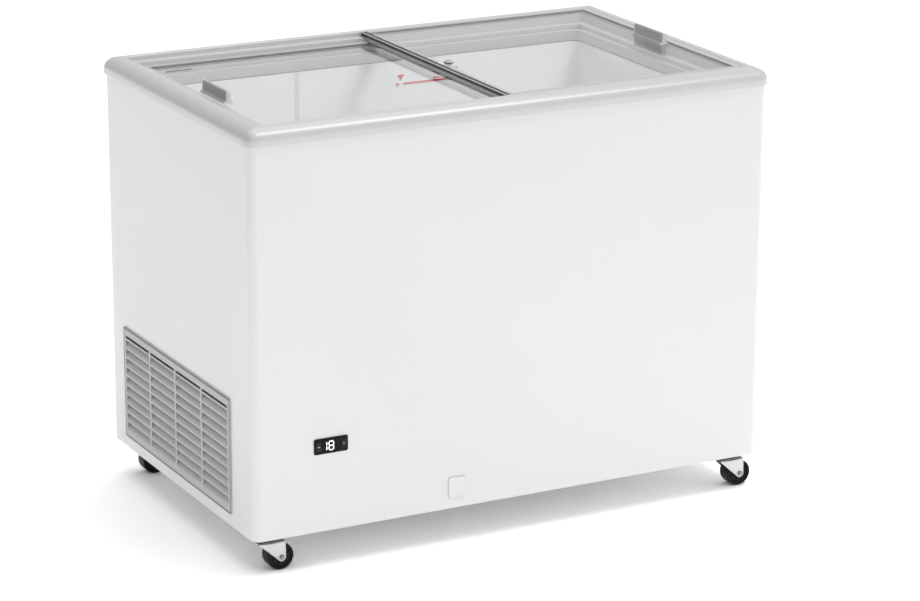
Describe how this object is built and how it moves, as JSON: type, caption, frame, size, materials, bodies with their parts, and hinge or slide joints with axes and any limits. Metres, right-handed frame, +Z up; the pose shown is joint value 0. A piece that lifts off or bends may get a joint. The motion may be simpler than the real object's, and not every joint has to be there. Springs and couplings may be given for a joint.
{
  "type": "glass lid chest freezer",
  "caption": "Chest freezer for a shop: white cabinet, rounded grey frame, flat glass lids that slide past each other, side ventilation grille, front controller and swivel casters.",
  "frame": {"origin": "on the floor under the middle of the cabinet", "axes": "+X along the front from left to right, +Y from the front to the rear, +Z up; the front faces -Y"},
  "size_m": [1.05, 0.655, 0.8308],
  "materials": {
    "white_paint": "satin",
    "white_plastic": "satin",
    "tub_white": "satin",
    "frame_grey": "satin",
    "collar_grey": "satin",
    "grille_grey": "satin",
    "handle_grey": "satin",
    "aluminium": "satin",
    "trim_grey": "satin",
    "seal_black": "matte",
    "glass": "polished",
    "black_gloss": "gloss",
    "black_plastic": "satin",
    "black_enamel": "satin",
    "zinc": "satin",
    "steel": "satin",
    "copper": "satin",
    "foam": "matte",
    "wheel_black": "satin"
  },
  "bodies": {
    "cabinet": {"outer_shell": "white_paint", "rear_panel": "white_paint", "base_pan": "zinc", "insulation_foam": "foam", "inner_liner": "tub_white", "tub_collar": "collar_grey", "frame_front": "frame_grey", "frame_right": "frame_grey", "frame_rear": "frame_grey", "frame_left": "frame_grey", "side_grille": "grille_grey", "controller_bezel": "black_gloss", "control_module": "black_plastic", "cable_gland": "black_plastic", "drain_tube": "tub_white", "compressor": "black_enamel", "compressor_rail": "steel", "condenser_coil": "steel", "evaporator_coil": "copper", "fan_shroud": "steel", "fan_motor": "black_plastic", "filter_drier": "copper", "discharge_pipe": "copper", "suction_pipe": "copper", "front_left_caster_plate": "zinc", "front_right_caster_plate": "zinc", "rear_left_caster_plate": "zinc", "rear_right_caster_plate": "zinc"},
    "left_lid": {"left_lid_glass": "glass", "left_lid_front_trim": "trim_grey", "left_lid_rear_trim": "trim_grey", "left_lid_end_profile": "aluminium", "left_lid_seal_profile": "seal_black", "left_lid_handle": "handle_grey", "lock_striker": "zinc"},
    "right_lid": {"right_lid_glass": "glass", "right_lid_front_trim": "trim_grey", "right_lid_rear_trim": "trim_grey", "right_lid_end_profile": "aluminium", "right_lid_seal_profile": "seal_black", "right_lid_handle": "handle_grey", "lid_lock_barrel": "zinc"},
    "lock_cam": {"lid_lock_cam": "zinc"},
    "set_key": {"set_key": "black_plastic"},
    "up_key": {"up_key": "black_plastic"},
    "drain_cover": {"drain_cover": "white_plastic"},
    "drain_plug": {"drain_plug": "black_plastic"},
    "fan": {"fan_blade": "black_plastic"},
    "front_left_fork": {"front_left_caster_fork": "zinc", "front_left_caster_axle": "steel"},
    "front_left_wheel": {"front_left_caster_wheel": "wheel_black"},
    "front_right_fork": {"front_right_caster_fork": "zinc", "front_right_caster_axle": "steel"},
    "front_right_wheel": {"front_right_caster_wheel": "wheel_black"},
    "rear_left_fork": {"rear_left_caster_fork": "zinc", "rear_left_caster_axle": "steel"},
    "rear_left_wheel": {"rear_left_caster_wheel": "wheel_black"},
    "rear_right_fork": {"rear_right_caster_fork": "zinc", "rear_right_caster_axle": "steel"},
    "rear_right_wheel": {"rear_right_caster_wheel": "wheel_black"}
  },
  "joints": [
    {"name": "left_lid_slide", "type": "slide", "parent": "cabinet", "child": "left_lid", "axis": [1, 0, 0], "range_m": [0, 0.42]},
    {"name": "right_lid_slide", "type": "slide", "parent": "cabinet", "child": "right_lid", "axis": [1, 0, 0], "range_m": [-0.42, 0]},
    {"name": "lock_turn", "type": "hinge", "parent": "right_lid", "child": "lock_cam", "pos_m": [0.026, -0.008, 0.8095], "axis": [0, 0, 1], "range_deg": [0, 90]},
    {"name": "set_key_press", "type": "slide", "parent": "cabinet", "child": "set_key", "axis": [0, 1, 0], "range_m": [0, 0.0005], "stiffness_N_per_m": 1000},
    {"name": "up_key_press", "type": "slide", "parent": "cabinet", "child": "up_key", "axis": [0, 1, 0], "range_m": [0, 0.0005], "stiffness_N_per_m": 1000},
    {"name": "drain_cover_pull", "type": "slide", "parent": "cabinet", "child": "drain_cover", "axis": [0, -1, 0], "range_m": [0, 0.03]},
    {"name": "drain_plug_lift", "type": "slide", "parent": "cabinet", "child": "drain_plug", "axis": [0, 0, 1], "range_m": [0, 0.03]},
    {"name": "fan_spin", "type": "hinge", "parent": "cabinet", "child": "fan", "pos_m": [-0.441, 0.03, 0.185], "axis": [1, 0, 0], "continuous": true},
    {"name": "front_left_swivel", "type": "hinge", "parent": "cabinet", "child": "front_left_fork", "pos_m": [-0.477, -0.283, 0.0677], "axis": [0, 0, 1], "continuous": true},
    {"name": "front_left_wheel_spin", "type": "hinge", "parent": "front_left_fork", "child": "front_left_wheel", "pos_m": [-0.457, -0.283, 0.025], "axis": [0, 1, 0], "continuous": true},
    {"name": "front_right_swivel", "type": "hinge", "parent": "cabinet", "child": "front_right_fork", "pos_m": [0.477, -0.283, 0.0677], "axis": [0, 0, 1], "continuous": true},
    {"name": "front_right_wheel_spin", "type": "hinge", "parent": "front_right_fork", "child": "front_right_wheel", "pos_m": [0.497, -0.283, 0.025], "axis": [0, 1, 0], "continuous": true},
    {"name": "rear_left_swivel", "type": "hinge", "parent": "cabinet", "child": "rear_left_fork", "pos_m": [-0.477, 0.283, 0.0677], "axis": [0, 0, 1], "continuous": true},
    {"name": "rear_left_wheel_spin", "type": "hinge", "parent": "rear_left_fork", "child": "rear_left_wheel", "pos_m": [-0.457, 0.283, 0.025], "axis": [0, 1, 0], "continuous": true},
    {"name": "rear_right_swivel", "type": "hinge", "parent": "cabinet", "child": "rear_right_fork", "pos_m": [0.477, 0.283, 0.0677], "axis": [0, 0, 1], "continuous": true},
    {"name": "rear_right_wheel_spin", "type": "hinge", "parent": "rear_right_fork", "child": "rear_right_wheel", "pos_m": [0.497, 0.283, 0.025], "axis": [0, 1, 0], "continuous": true}
  ]
}
